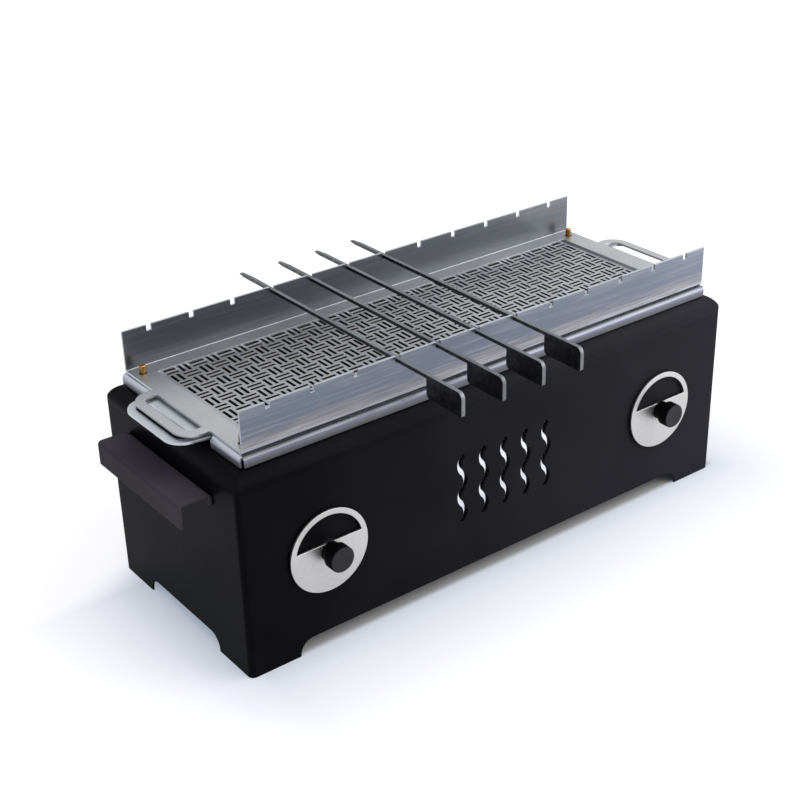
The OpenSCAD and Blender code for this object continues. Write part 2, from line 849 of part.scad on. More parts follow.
// Side view of a skewer, with its point to the back
module skewer_outline() {
    tag_z = blade_top - tag_h;
    tag_back = tag_l - skewer_front;
    nose_z = blade_z + blade_h / 2;
    difference() {
        union() {
            translate([-skewer_front, blade_z])
                square([skewer_front + skewer_back - tip_l, blade_h]);
            polygon([
                [0, blade_z], [skewer_back - tip_low_l, blade_z],
                [skewer_back - nose_r, nose_z - nose_r], [skewer_back - nose_r, nose_z + nose_r],
                [skewer_back - tip_l, blade_top], [0, blade_top]]);
            translate([skewer_back - nose_r, nose_z]) circle(nose_r);
            translate([-skewer_front, tag_z]) square([tag_l, tag_h]);
        }
        corner(-skewer_front, blade_top, tag_top_r, 1, -1);
        corner(-skewer_front, tag_z, tag_out_r, 1, 1);
        corner(tag_back, tag_z, tag_in_r, -1, 1);
    }
}

// Waste of a rounded corner whose arc lies to the side that dx and dy point to
module corner(x, y, r, dx, dy) {
    translate([x, y]) difference() {
        translate([(dx - 1) / 2 * r - (dx + 1) / 2 * cut, (dy - 1) / 2 * r - (dy + 1) / 2 * cut])
            square(r + cut);
        translate([dx * r, dy * r]) circle(r);
    }
}

module skewer(k) {
    color("#85868A") placed() translate([notch_x(first_notch + k), 0, 0])
        along_x(skewer_t) skewer_outline();
}

outer_shell();
base_plate();
base_brackets();
base_screws();
inner_case();
floor_board();
front_board();
rear_board();
end_board(-1);  // left_board
end_board(1);  // right_board
grate_ledge(-1);  // grate_ledge_left
grate_ledge(1);  // grate_ledge_right
ledge_bolts();
ledge_nuts();
charcoal_grate();
carry_handle(-1);  // carry_handle_left
carry_handle(1);  // carry_handle_right
handle_screws();
handle_nuts();
damper_spacers();
damper_spring_washers();
damper_disc(-1);  // damper_disc_left
damper_disc(1);  // damper_disc_right
damper_knob(-1);  // damper_knob_left
damper_knob(1);  // damper_knob_right
damper_spindle(-1);  // damper_spindle_left
damper_spindle(1);  // damper_spindle_right
damper_nut(-1);  // damper_nut_left
damper_nut(1);  // damper_nut_right
grill_plate();
grate_handle(-1);  // grate_handle_left
grate_handle(1);  // grate_handle_right
locating_pins();
skewer_rack();
skewer(0);  // skewer_1
skewer(1);  // skewer_2
skewer(2);  // skewer_3
skewer(3);  // skewer_4
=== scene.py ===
"""Looks of the charcoal table grill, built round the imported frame."""
import math
from collections import namedtuple

import bmesh
import bpy
import numpy as np
from mathutils import Matrix, Vector


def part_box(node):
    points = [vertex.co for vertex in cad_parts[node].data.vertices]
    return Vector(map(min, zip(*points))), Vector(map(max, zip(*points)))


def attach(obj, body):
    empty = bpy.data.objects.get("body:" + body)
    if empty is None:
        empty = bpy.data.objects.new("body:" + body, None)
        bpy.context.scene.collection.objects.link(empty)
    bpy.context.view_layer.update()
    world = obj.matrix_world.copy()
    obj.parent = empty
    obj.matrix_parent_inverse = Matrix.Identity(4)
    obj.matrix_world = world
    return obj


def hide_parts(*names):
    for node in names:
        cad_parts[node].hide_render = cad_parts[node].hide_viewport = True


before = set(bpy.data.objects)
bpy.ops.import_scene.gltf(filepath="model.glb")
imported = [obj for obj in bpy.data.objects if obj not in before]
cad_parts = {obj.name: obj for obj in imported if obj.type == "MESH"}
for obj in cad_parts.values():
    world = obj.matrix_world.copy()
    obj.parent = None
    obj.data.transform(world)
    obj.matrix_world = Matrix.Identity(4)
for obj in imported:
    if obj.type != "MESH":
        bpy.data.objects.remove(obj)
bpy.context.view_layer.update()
MM = 0.001

# Outer casing
# One sheet of 2 mm mild steel, laser cut and bent to a rolled edge round the top, with welded upright
# edges ground to a radius that the solid lacks. Its coat is black polyester powder of fine texture, which
# scatters light softly and hides the bends.


def linear(colour):
    """Linear RGBA of an sRGB hex colour: each channel is raised by the sRGB curve."""
    srgb = np.array([int(colour[i:i + 2], 16) for i in (1, 3, 5)]) / 255
    return (*np.where(srgb > 0.04045, ((srgb + 0.055) / 1.055) ** 2.4, srgb / 12.92), 1.0)


def add(tree, kind, inputs=None, stops=None, **settings):
    """Adds a node, makes its settings, and sets or links its inputs, given by name or number.

    stops are a colour ramp's places and hex colours."""
    node = tree.nodes.new("ShaderNode" + kind)
    for name, value in settings.items():
        setattr(node, name, value)
    for name, value in (inputs or {}).items():
        if isinstance(value, bpy.types.NodeSocket):
            tree.links.new(value, node.inputs[name])
        else:
            node.inputs[name].default_value = value
    if stops:
        ramp = node.color_ramp.elements
        while len(ramp) < len(stops):
            ramp.new(1.0)
        for element, (place, colour) in zip(ramp, stops):
            element.position = place
            element.color = linear(colour)
    return node


def finish(name, **constants):
    """New material with one shader that has these constant values. Gives its tree, its shader and
    the object coordinates in metres."""
    material = bpy.data.materials.new(name)
    material.use_nodes = True
    tree = material.node_tree
    tree.nodes.clear()
    shader = add(tree, "BsdfPrincipled", {key.replace("_", " "): v for key, v in constants.items()})
    add(tree, "OutputMaterial", {"Surface": shader.outputs[0]})
    return tree, shader, add(tree, "TexCoord").outputs["Object"]


def powder_coat(name, dark, light, rough, shine=0.05, worn=0.0):
    """Black fine-texture powder coat: cloudy in patches the width of a hand, with a grain that is
    really 0.3 mm and is drawn at 0.9 mm so that it shows. By the share worn, it is
    painted greyer towards the right end: painted light, as from a lamp on the right."""
    tree, shader, place = finish(name, **{"Specular IOR Level": shine})
    clouds = add(tree, "TexNoise", {"Vector": place, "Scale": 1 / (90 * MM), "Detail": 2.0})
    clouds = add(tree, "MapRange", {"Value": clouds.outputs[0], "From Min": 0.35, "From Max": 0.68})
    axis = add(tree, "SeparateXYZ", {"Vector": place})
    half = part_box("outer_shell")[1].x
    # Painted light: the coat is lighter towards the right end, by the share given.
    wear = add(tree, "MapRange", {"Value": axis.outputs[0], "From Min": -half, "From Max": half})
    both = add(tree, "Mix", {0: worn, 2: clouds.outputs[0], 3: wear.outputs[0]})
    colour = add(tree, "ValToRGB", {"Fac": both.outputs[0]}, stops=[(0.0, dark), (1.0, light)])
    tree.links.new(colour.outputs[0], shader.inputs["Base Color"])
    grain = add(tree, "TexNoise", {"Vector": place, "Scale": 1 / (0.9 * MM), "Detail": 3.0})
    gloss = add(tree, "MapRange", {
        "Value": grain.outputs[0], "From Min": 0.3, "From Max": 0.7, "To Min": rough - 0.06,
        "To Max": rough + 0.06})
    tree.links.new(gloss.outputs[0], shader.inputs["Roughness"])
    bump = add(tree, "Bump", {"Height": grain.outputs[0], "Strength": 0.35, "Distance": 0.12 * MM})
    tree.links.new(bump.outputs[0], shader.inputs["Normal"])
    return bpy.data.materials[name]


def crisp_copy(node, edge, materials, body="body"):
    """Copy of a CAD node whose points closer than the width edge are merged and whose flat faces are
    made whole, before a bevel rounds its sharp edges to that width. It rides on body and replaces
    the node."""
    flat, sharp = math.radians(0.5), math.radians(40)
    form = bmesh.new()
    form.from_mesh(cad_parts[node].data)
    bmesh.ops.remove_doubles(form, verts=form.verts, dist=edge)
    bmesh.ops.dissolve_limit(form, angle_limit=flat, verts=form.verts, edges=form.edges)
    mesh = bpy.data.meshes.new(node + "_sheet")
    form.to_mesh(mesh)
    form.free()
    mesh.materials.clear()
    for material in materials:
        mesh.materials.append(material)
    mesh.polygons.foreach_set("material_index", np.zeros(len(mesh.polygons), int))
    mesh.shade_smooth()
    piece = bpy.data.objects.new(node + "_sheet", mesh)
    bpy.context.collection.objects.link(piece)
    bevel = piece.modifiers.new("rounded edges", "BEVEL")
    bevel.width = edge
    bevel.segments = 2
    bevel.limit_method = "ANGLE"
    bevel.angle_limit = sharp
    bevel.use_clamp_overlap = False
    even = piece.modifiers.new("flat faces keep their shade", "WEIGHTED_NORMAL")
    even.mode = "FACE_AREA"
    even.weight = 100
    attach(piece, body)
    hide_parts(node)
    return piece


touching = 0.001 * MM


def round_corners(piece, r, steps=5):
    """Rounds the upright corners of the casing's copy to the radius r: planes that touch the arc, at
    even turns of it, cut off what lies beyond them, and each cut is closed again."""
    form = bmesh.new()
    form.from_mesh(piece.data)
    low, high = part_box("outer_shell")
    middle, reach = (low + high) / 2, (high - low) / 2 - Vector((r, r, 0))
    for turn in (np.arange(4 * steps) + 0.5) * math.pi / 2 / steps:
        out = Vector((math.cos(turn), math.sin(turn), 0))
        touch = middle + out * r + Vector(
            (math.copysign(reach.x, out.x), math.copysign(reach.y, out.y), 0))
        cut = bmesh.ops.bisect_plane(
            form, geom=form.verts[:] + form.edges[:] + form.faces[:], dist=touching,
            plane_co=touch, plane_no=out, clear_outer=True)
        edges = [edge for edge in cut["geom_cut"] if isinstance(edge, bmesh.types.BMEdge)]
        bmesh.ops.holes_fill(form, edges=edges)
    bmesh.ops.recalc_face_normals(form, faces=form.faces)
    for face in form.faces:
        face.smooth = True
    form.to_mesh(piece.data)
    form.free()


# The casing's coat is painted greyer towards its right end: painted light from the right.
casing_coat = powder_coat(
    "powder_coated_steel_black", "#040407", "#2A292F", rough=0.46, shine=0.033, worn=0.85)
coated_edge = 0.4 * MM
casing = crisp_copy("outer_shell", coated_edge, [casing_coat])
upright_r = 6 * MM
round_corners(casing, upright_r)

# Carry handles
# Strips of 2.5 mm steel bent three times to a grip with a turned-down lip, coated like the casing and
# screwed to its ends. Their coat is a little greyer and duller than the casing's.
handle_coat = powder_coat("powder_coated_steel_handle", "#464147", "#524D53", rough=0.5, shine=0.02)
for side in ("left", "right"):
    handle = crisp_copy("carry_handle_" + side, coated_edge, [handle_coat])

# Zinc-plated fasteners and brackets
# Screws, nuts and washers from the shelf, and the base's folded brackets, in bright zinc: a thin
# crystalline plating, pale and slightly blue, which turns cloudy.


def dress(nodes, material):
    """Gives whole CAD nodes one material."""
    for node in nodes:
        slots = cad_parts[node].material_slots
        for slot in slots:
            slot.link = "OBJECT"
            slot.material = material


tree, shader, place = finish("zinc_plated_steel", Metallic=1.0)
clouds = add(tree, "TexNoise", {"Vector": place, "Scale": 1 / (3 * MM), "Detail": 3.0})
colour = add(tree, "ValToRGB", {"Fac": clouds.outputs[0]}, stops=[(0.3, "#8E9399"), (0.7, "#B9BDC0")])
tree.links.new(colour.outputs[0], shader.inputs["Base Color"])
gloss = add(tree, "MapRange", {"Value": clouds.outputs[0], "To Min": 0.28, "To Max": 0.46})
tree.links.new(gloss.outputs[0], shader.inputs["Roughness"])
zinc = bpy.data.materials["zinc_plated_steel"]
dress(["base_brackets", "base_screws", "ledge_bolts", "ledge_nuts", "handle_screws", "handle_nuts",
       "damper_spring_washers", "damper_spindle_left", "damper_spindle_right", "damper_nut_left",
       "damper_nut_right"], zinc)

# Base plate and damper spacers
# A flat sheet screwed under the casing, and turned rings behind the discs. Both are steel, coated black
# like the casing, and a little duller.
base_coat = powder_coat("powder_coated_base", "#1D1C20", "#262529", rough=0.6)
dress(["base_plate", "damper_spacers"], base_coat)

# Stainless case
# Folded 1.5 mm stainless sheet behind the front panel, still with the mill's bright annealed finish:
# nearly a mirror, with faint rolling lines along the sheet.
tree, shader, place = finish("bright_annealed_stainless", Metallic=1.0)
rolled = add(tree, "Mapping", {"Vector": place, "Scale": (3.0, 90.0, 90.0)})
lines = add(tree, "TexNoise", {"Vector": rolled.outputs[0], "Scale": 4.0, "Detail": 4.0})
colour = add(tree, "ValToRGB", {"Fac": lines.outputs[0]}, stops=[(0.3, "#D8DCE2"), (0.7, "#EEF0F3")])
tree.links.new(colour.outputs[0], shader.inputs["Base Color"])
gloss = add(tree, "MapRange", {"Value": lines.outputs[0], "To Min": 0.08, "To Max": 0.2})
tree.links.new(gloss.outputs[0], shader.inputs["Roughness"])
dress(["inner_case"], bpy.data.materials["bright_annealed_stainless"])

# Insulating boards
# Pressed vermiculite, 25 mm thick, sawn to size and set round the fire and under the ash: golden-grey
# flakes in a binder, blackened by smoke towards the top.
tree, shader, place = finish("vermiculite_board", Roughness=0.95, **{"Specular IOR Level": 0.2})
flakes = add(tree, "TexVoronoi", {"Vector": place, "Scale": 1 / (3.5 * MM)})
colour = add(tree, "ValToRGB", {"Fac": flakes.outputs["Color"]},
             stops=[(0.2, "#6E604C"), (0.55, "#8B7A60"), (0.9, "#A3957C")])
height = add(tree, "SeparateXYZ", {"Vector": place})
soot = add(tree, "MapRange", {"Value": height.outputs[2], "From Min": 0.07, "From Max": 0.17})
smoke = add(tree, "Mix", {0: soot.outputs[0], 6: colour.outputs[0], 7: linear("#1D1916")},
            data_type="RGBA")
tree.links.new(smoke.outputs[2], shader.inputs["Base Color"])
bump = add(tree, "Bump", {"Height": flakes.outputs["Distance"], "Strength": 0.5, "Distance": 0.4 * MM})
tree.links.new(bump.outputs[0], shader.inputs["Normal"])
dress(["floor_board", "front_board", "rear_board", "left_board", "right_board"],
      bpy.data.materials["vermiculite_board"])

# Charcoal grate and its ledges
# Laser-cut stainless. The ledges are folded, and bolted through the boards to the stainless case. All of
# it has been in the fire, and its scale is brown-black with blue patches.
tree, shader, place = finish("fired_steel", Metallic=0.8, Roughness=0.6)
scale = add(tree, "TexNoise", {"Vector": place, "Scale": 1 / (14 * MM), "Detail": 5.0})
colour = add(tree, "ValToRGB", {"Fac": scale.outputs[0]},
             stops=[(0.3, "#2A2421"), (0.5, "#463C35"), (0.7, "#4A4B55")])
tree.links.new(colour.outputs[0], shader.inputs["Base Color"])
dress(["charcoal_grate", "grate_ledge_left", "grate_ledge_right"], bpy.data.materials["fired_steel"])

# Damper discs
# Laser-cut 2 mm stainless with a pickled, evenly matt face that looks pale and warm, a half-moon window
# and a fine broken edge.


def pickled_stainless(name, dark, light, rough=0.43):
    """Pickled stainless: even and matt, with faint clouds the width of a hand and mottling of 3 mm."""
    tree, shader, place = finish(name, Metallic=1.0)
    mottle = add(tree, "TexNoise", {"Vector": place, "Scale": 1 / (3 * MM), "Detail": 3.0})
    clouds = add(tree, "TexNoise", {"Vector": place, "Scale": 1 / (80 * MM), "Detail": 2.0})
    both = add(tree, "Mix", {0: 0.7, 2: mottle.outputs[0], 3: clouds.outputs[0]})
    colour = add(tree, "ValToRGB", {"Fac": both.outputs[0]}, stops=[(0.36, dark), (0.64, light)])
    tree.links.new(colour.outputs[0], shader.inputs["Base Color"])
    gloss = add(tree, "MapRange", {
        "Value": mottle.outputs[0], "To Min": rough + 0.07, "To Max": rough - 0.07})
    tree.links.new(gloss.outputs[0], shader.inputs["Roughness"])
    grit = add(tree, "TexNoise", {"Vector": place, "Scale": 1 / (0.8 * MM), "Detail": 2.0})
    bump = add(tree, "Bump", {"Height": grit.outputs[0], "Strength": 0.15, "Distance": 0.05 * MM})
    tree.links.new(bump.outputs[0], shader.inputs["Normal"])
    return bpy.data.materials[name]


disc_steel = pickled_stainless("pickled_stainless_disc", "#BDBCBB", "#CCCBCA")
for side in ("left", "right"):
    disc = crisp_copy("damper_disc_" + side, 0.35 * MM, [disc_steel], "damper_" + side)

# Damper knobs
# Moulded black phenolic: a neck and a wider head with small rounded edges and a faintly dished face.
# The round sides are deep black, and the face is painted a lighter grey, a painted reflection of the light
# before it, and shines softly.
neck_r, neck_l, neck_edge = 9.5 * MM, 7.9 * MM, 0.4 * MM
head_r, head_edge_r, face_dish = 12.5 * MM, 1.4 * MM, 0.25 * MM


def phenolic(name, dark, light, specular, rough):
    """Moulded phenolic with flow marks 6 mm across."""
    tree, shader, place = finish(name, **{"Specular IOR Level": specular})
    flow = add(tree, "TexNoise", {"Vector": place, "Scale": 1 / (6 * MM), "Detail": 3.0})
    colour = add(tree, "ValToRGB", {"Fac": flow.outputs[0]}, stops=[(0.3, dark), (0.7, light)])
    tree.links.new(colour.outputs[0], shader.inputs["Base Color"])
    gloss = add(tree, "MapRange", {"Value": flow.outputs[0], "To Min": rough, "To Max": rough + 0.12})
    tree.links.new(gloss.outputs[0], shader.inputs["Roughness"])
    return bpy.data.materials[name]


def quarter(x, y, r, start, steps=6):
    """Points of a quarter circle round x, y, from the angle start in quarter turns."""
    turn = (start + np.linspace(0, 1, steps)) * math.pi / 2
    return np.column_stack([x + r * np.cos(turn), y + r * np.sin(turn)])


def knob_section(length):
    """Half section of a knob: rows of a distance from the spindle's line and one along it. The straight
    neck steps out to the head, whose two edges are quarter circles, and the face lies deeper than its
    rim by face_dish times 1 less the square of the distance's share of the rim."""
    rim = head_r - head_edge_r
    face = np.linspace(rim, 0, 7)[1:]
    return np.vstack([
        [[0, 0], [neck_r, 0], [neck_r, neck_l - neck_edge]],
        [[neck_r + neck_edge, neck_l], [rim, neck_l]],
        quarter(rim, neck_l + head_edge_r, head_edge_r, -1)[1:],
        quarter(rim, length - head_edge_r, head_edge_r, 0),
        np.column_stack([face, length - face_dish * (1 - (face / rim) ** 2)])])


def turned_rings(section, x, foot_y, z):
    """Rings of points, one for each row of a half section. Each goes round the line along y at x and z
    in even turns, at the row's distance times the turn's cosine and sine, in front of foot_y."""
    turn = np.linspace(0, 2 * math.pi, 96, endpoint=False)
    across, along = section[:, :1], section[:, 1:]
    return np.stack([x + across * np.cos(turn), foot_y - along + 0 * turn, z + across * np.sin(turn)],
                    axis=-1)


def ring_piece(name, rings, material):
    """Piece with one face between each four neighbours in a table of rings. Each row closes on itself
    and is joined to the next, and points at the same place become one."""
    count, around = rings.shape[:2]
    row, column = np.arange(count - 1)[:, None], np.arange(around)[None, :]
    after = (column + 1) % around
    corners = np.stack(np.broadcast_arrays(
        row * around + column, row * around + after, (row + 1) * around + after,
        (row + 1) * around + column), axis=-1).reshape(-1, 4)
    mesh = bpy.data.meshes.new(name)
    mesh.from_pydata(rings.reshape(-1, 3), [], corners)
    form = bmesh.new()
    form.from_mesh(mesh)
    bmesh.ops.remove_doubles(form, verts=form.verts, dist=touching)
    bmesh.ops.recalc_face_normals(form, faces=form.faces)
    form.to_mesh(mesh)
    form.free()
    mesh.materials.append(material)
    mesh.shade_smooth()
    piece = bpy.data.objects.new(name, mesh)
    bpy.context.collection.objects.link(piece)
    return piece


def faces(piece):
    """Middles and normals of a piece's faces, as two arrays."""
    polygons = piece.data.polygons
    middle, normal = np.empty(len(polygons) * 3), np.empty(len(polygons) * 3)
    polygons.foreach_get("center", middle)
    polygons.foreach_get("normal", normal)
    return middle.reshape(-1, 3), normal.reshape(-1, 3)


def paint(piece, chosen, index):
    """Gives the chosen faces the material of that index."""
    indices = np.zeros(len(piece.data.polygons), int)
    piece.data.polygons.foreach_get("material_index", indices)
    indices[chosen] = index
    piece.data.polygons.foreach_set("material_index", indices)


knob_side = phenolic("phenolic_side", "#040405", "#070709", 0.04, 0.5)
# The knob's face is a lighter grey copy of the phenolic: a painted reflection.
knob_face = phenolic("phenolic_face", "#16161A", "#1D1D23", 0.25, 0.4)
faces_front = 0.8
for side in ("left", "right"):
    low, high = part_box("damper_knob_" + side)
    rings = turned_rings(
        knob_section(high.y - low.y), (low.x + high.x) / 2, high.y, (low.z + high.z) / 2)
    knob = ring_piece("damper_knob_turned_" + side, rings, knob_side)
    knob.data.materials.append(knob_face)
    middle, normal = faces(knob)
    paint(knob, -normal[:, 1] > faces_front, 1)
    knob.modifiers.new("crisp steps", "EDGE_SPLIT").split_angle = math.radians(50)
    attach(knob, "damper_" + side)
    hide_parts("damper_knob_" + side)

# Grill plate
# Folded 2.2 mm stainless with a basket weave of slots, laser cut. The top is pale and matt, the folds
# are satin with rolling lines along them, and the slots' walls are browned by the laser and the fire.
# The folds' colours are painted light: the long folds are painted darker, as a painted reflection, with
# painted shade at their top and foot, and the end folds have a painted highlight near their top.


def scaled_wall(name, box, along, up, warm, warm_share, wander=8 * MM, sooty=0.0):
    """Rolled stainless under a thin scale. Its colour is a ramp up the box, which wanders up and down
    by wander, times a ramp along the box: painted light and shade. It has warm streaks, and painted
    shade, nearly black, below the height sooty."""
    low, high = box
    tree, shader, place = finish(name, Metallic=1.0)
    stretched = add(tree, "Mapping", {"Vector": place, "Scale": (2.0, 60.0, 60.0)})
    streaks = add(tree, "TexNoise", {"Vector": stretched.outputs[0], "Scale": 6.0, "Detail": 5.0})
    slow = add(tree, "Mapping", {"Vector": place, "Scale": (4.0, 4.0, 90.0)})
    drift = add(tree, "TexNoise", {"Vector": slow.outputs[0], "Detail": 5.0, "Roughness": 0.6})
    axis = add(tree, "SeparateXYZ", {"Vector": place})
    shift = add(tree, "MapRange", {"Value": drift.outputs[0], "From Min": 0.3, "From Max": 0.7,
                                   "To Min": -wander, "To Max": wander})
    height = add(tree, "Math", {0: axis.outputs[2], 1: shift.outputs[0]}, operation="ADD")
    height = add(tree, "MapRange", {
        "Value": height.outputs[0], "From Min": low.z, "From Max": high.z})
    length = add(tree, "MapRange", {
        "Value": axis.outputs[0], "From Min": low.x, "From Max": high.x})
    upward = add(tree, "ValToRGB", {"Fac": height.outputs[0]}, stops=up)
    sideways = add(tree, "ValToRGB", {"Fac": length.outputs[0]}, stops=along)
    colour = add(tree, "Mix", {0: 1.0, 6: upward.outputs[0], 7: sideways.outputs[0]},
                 data_type="RGBA", blend_type="MULTIPLY")
    band = add(tree, "MapRange", {
        "Value": streaks.outputs[0], "From Min": 0.5, "From Max": 0.72, "To Max": warm_share})
    colour = add(tree, "Mix", {0: band.outputs[0], 6: colour.outputs[2], 7: linear(warm)},
                 data_type="RGBA")
    # Painted shade: nearly black below that height, in the groove under the bend.
    if sooty:
        foot = add(tree, "MapRange", {
            "Value": axis.outputs[2], "From Min": sooty - 1.8 * MM, "From Max": sooty})
        colour = add(tree, "Mix", {0: foot.outputs[0], 6: linear("#121315"), 7: colour.outputs[2]},
                     data_type="RGBA")
    tree.links.new(colour.outputs[2], shader.inputs["Base Color"])
    gloss = add(tree, "MapRange", {"Value": streaks.outputs[0], "To Min": 0.42, "To Max": 0.26})
    tree.links.new(gloss.outputs[0], shader.inputs["Roughness"])
    bump = add(tree, "Bump", {"Height": streaks.outputs[0], "Strength": 0.12, "Distance": 0.05 * MM})
    tree.links.new(bump.outputs[0], shader.inputs["Normal"])
    return bpy.data.materials[name]


plate_top = pickled_stainless("pickled_stainless_plate", "#9EA2A8", "#B0B4BA")
plate_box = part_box("grill_plate")
even_light = [(0.0, "#FFFFFF"), (1.0, "#FFFFFF")]
fold_wander = 0.4 * MM
# The long folds' ramps are painted light: painted shade at the top under the rack's bend and at the foot,
# a lighter painted band between, lighter towards the right end, and darker overall as a painted
# reflection.
front_fold = scaled_wall(
    "satin_stainless_fold_long", plate_box, [(0.0, "#D4D4D4"), (1.0, "#FFFFFF")],
    [(0.0, "#5C5B5F"), (0.45, "#72757D"), (0.72, "#84889A"), (0.84, "#6A6E76"), (1.0, "#35383E")],
    "#86817C", warm_share=0.3, wander=fold_wander)
# The end folds' ramps are painted light: a painted highlight near the top and painted shade at the foot.
end_fold = scaled_wall(
    "satin_stainless_fold_end", plate_box, even_light,
    [(0.0, "#4A4B50"), (0.35, "#6F7179"), (0.62, "#9092A0"), (0.85, "#BCC0CA"), (1.0, "#A9ADB3")],
    "#86817C", warm_share=0.1, wander=fold_wander)
tree, shader, place = finish("laser_browned_edge", Metallic=0.7, Roughness=0.55)
burn = add(tree, "TexNoise", {"Vector": place, "Scale": 1 / (11 * MM), "Detail": 3.0})
colour = add(tree, "ValToRGB", {"Fac": burn.outputs[0]},
             stops=[(0.3, "#241B14"), (0.5, "#54402C"), (0.7, "#463B30")])
tree.links.new(colour.outputs[0], shader.inputs["Base Color"])
browned = bpy.data.materials["laser_browned_edge"]

plate = crisp_copy("grill_plate", 0.2 * MM, [plate_top, front_fold, browned, end_fold], "grate")
low, high = plate_box
fold_w, level_face, end_face, cut_face = 10 * MM, 0.95, 0.25, 0.5
middle, normal = faces(plate)
inside = (middle[:, 0] > low.x + fold_w) & (middle[:, 0] < high.x - fold_w)
inside &= (middle[:, 1] > low.y + fold_w) & (middle[:, 1] < high.y - fold_w)
# Long folds and end folds get their painted light and shade here.
paint(plate, ~inside & (normal[:, 2] < level_face), 1)
paint(plate, ~inside & (abs(normal[:, 0]) > end_face) & (abs(middle[:, 0]) > high.x - fold_w), 3)
paint(plate, inside & (abs(normal[:, 2]) < cut_face), 2)

# Tongue handles of the grill plate
# Laser-cut 2.5 mm stainless welded under the plate's ends, with a finger slot. The copies have the reach,
# the width and the slot that the photograph shows in place of the solids', and the slot is straight on
# its inner side.
Tongue = namedtuple("Tongue", "end half_w corner_r slot_in slot_out slot_half_l slot_r")


def tongue_sizes(end, width, corner_r, grip_w, finger_w, finger_l, finger_r):
    """Places of a tongue's outline and slot: across from x = 0, and along from the middle line."""
    return Tongue(end, width / 2, corner_r, end - grip_w - finger_w, end - grip_w, finger_l / 2, finger_r)


def points_of(piece):
    """Table of a piece's points, one in each row."""
    points = np.empty(len(piece.data.vertices) * 3)
    piece.data.vertices.foreach_get("co", points)
    return points.reshape(-1, 3)


def put_points(piece, points):
    """Moves a piece's points to the places in the table."""
    piece.data.vertices.foreach_set("co", points.ravel())
    piece.data.update()


def fit_tongues(piece, middle, root, solid, shown):
    """Gives the tongues of a copy, beyond root, the shown sizes in place of the solid ones. Outline and
    slot are each stretched evenly up to the start of their corners, and evenly from there on."""
    points = points_of(piece)
    x, y, hair = abs(points[:, 0]), abs(points[:, 1] - middle), 0.1 * MM
    slot = (x > solid.slot_in - solid.slot_r) & (x < solid.slot_out + hair)
    slot &= y < solid.slot_half_l + hair
    outline = (x > root + hair) & ~slot
    slot_x, slot_y, outline_x, outline_y = zip(*(
        ([size.slot_in, size.slot_out - size.slot_r, size.slot_out],
         [0, size.slot_half_l - size.slot_r, size.slot_half_l],
         [root, size.end - size.corner_r, size.end],
         [0, size.half_w - size.corner_r, size.half_w]) for size in (solid, shown)))
    across = np.select([slot, outline], [np.interp(x, *slot_x), np.interp(x, *outline_x)], x)
    along = np.select([slot, outline], [np.interp(y, *slot_y), np.interp(y, *outline_y)], y)
    points[:, 0] = np.copysign(across, points[:, 0])
    points[:, 1] = middle + np.copysign(along, points[:, 1] - middle)
    put_points(piece, points)


tongue_steel = pickled_stainless("pickled_stainless_tongue", "#B3B8BF", "#C4C9D0")
plate_end = plate_box[1].x
plate_middle = (plate_box[0].y + plate_box[1].y) / 2
shown_tongue = tongue_sizes(
    plate_end + 30.5 * MM, width=99 * MM, corner_r=20 * MM, grip_w=8 * MM, finger_w=15.5 * MM,
    finger_l=80 * MM, finger_r=9 * MM)
for side in ("left", "right"):
    tongue = crisp_copy("grate_handle_" + side, 0.3 * MM, [tongue_steel], "grate")
    low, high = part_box("grate_handle_" + side)
    root, end = sorted((abs(low.x), abs(high.x)))
    solid_tongue = tongue_sizes(
        end, width=high.y - low.y, corner_r=25 * MM, grip_w=10.5 * MM, finger_w=14.5 * MM,
        finger_l=84 * MM, finger_r=12.5 * MM)
    fit_tongues(tongue, plate_middle, root, solid_tongue, shown_tongue)

# Locating pins
# Brass bar, turned with chamfered ends and pressed into the plate. The sides are a dull brown yellow,
# and the end faces have tarnished to copper.
tree, shader, place = finish("turned_brass", Metallic=1.0)
wear = add(tree, "TexNoise", {"Vector": place, "Scale": 1 / (2.5 * MM), "Detail": 3.0})
colour = add(tree, "ValToRGB", {"Fac": wear.outputs[0]}, stops=[(0.3, "#6E5430"), (0.7, "#9C7A45")])
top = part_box("locating_pins")[1].z
height = add(tree, "SeparateXYZ", {"Vector": place})
end = add(tree, "MapRange", {
    "Value": height.outputs[2], "From Min": top - 1.0 * MM, "From Max": top - 0.3 * MM})
tint = add(tree, "Mix", {0: end.outputs[0], 6: colour.outputs[0], 7: linear("#C27C4A")},
           data_type="RGBA")
tree.links.new(tint.outputs[2], shader.inputs["Base Color"])
gloss = add(tree, "MapRange", {"Value": wear.outputs[0], "To Min": 0.22, "To Max": 0.4})
tree.links.new(gloss.outputs[0], shader.inputs["Roughness"])
dress(["locating_pins"], bpy.data.materials["turned_brass"])

# Skewer rack
# One 2.4 mm stainless sheet, laser cut and bent to a channel with notched walls. The front wall shows the
# mill's blue-grey scale with streaks along the sheet, under painted light: a painted highlight along its
# bend, painted shade under the bend, and lighter towards its right end. The back wall is painted darker,
# and lighter towards its right end, with a heat tint.
rack_base = pickled_stainless("pickled_stainless_rack", "#A9ADB1", "#B6B9BC")
rack_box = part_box("skewer_rack")
low, high = rack_box
# The front wall's ramps are painted light: a painted highlight along the bend, lighter towards the right
# end, and painted shade under the bend.
front_scale = scaled_wall(
    "mill_stainless_front", rack_box,
    [(0.0, "#DCDCDC"), (0.5, "#DEDEDE"), (0.8, "#EAEAEA"), (1.0, "#FFFFFF")],
    [(0.0, "#B6BBC8"), (0.1, "#AAA8AC"), (0.28, "#8F8E94"), (0.42, "#7A8292"), (0.8, "#7C8494"),
     (1.0, "#8E939F")],
    "#93929A", warm_share=0.5, sooty=low.z + 2.8 * MM)
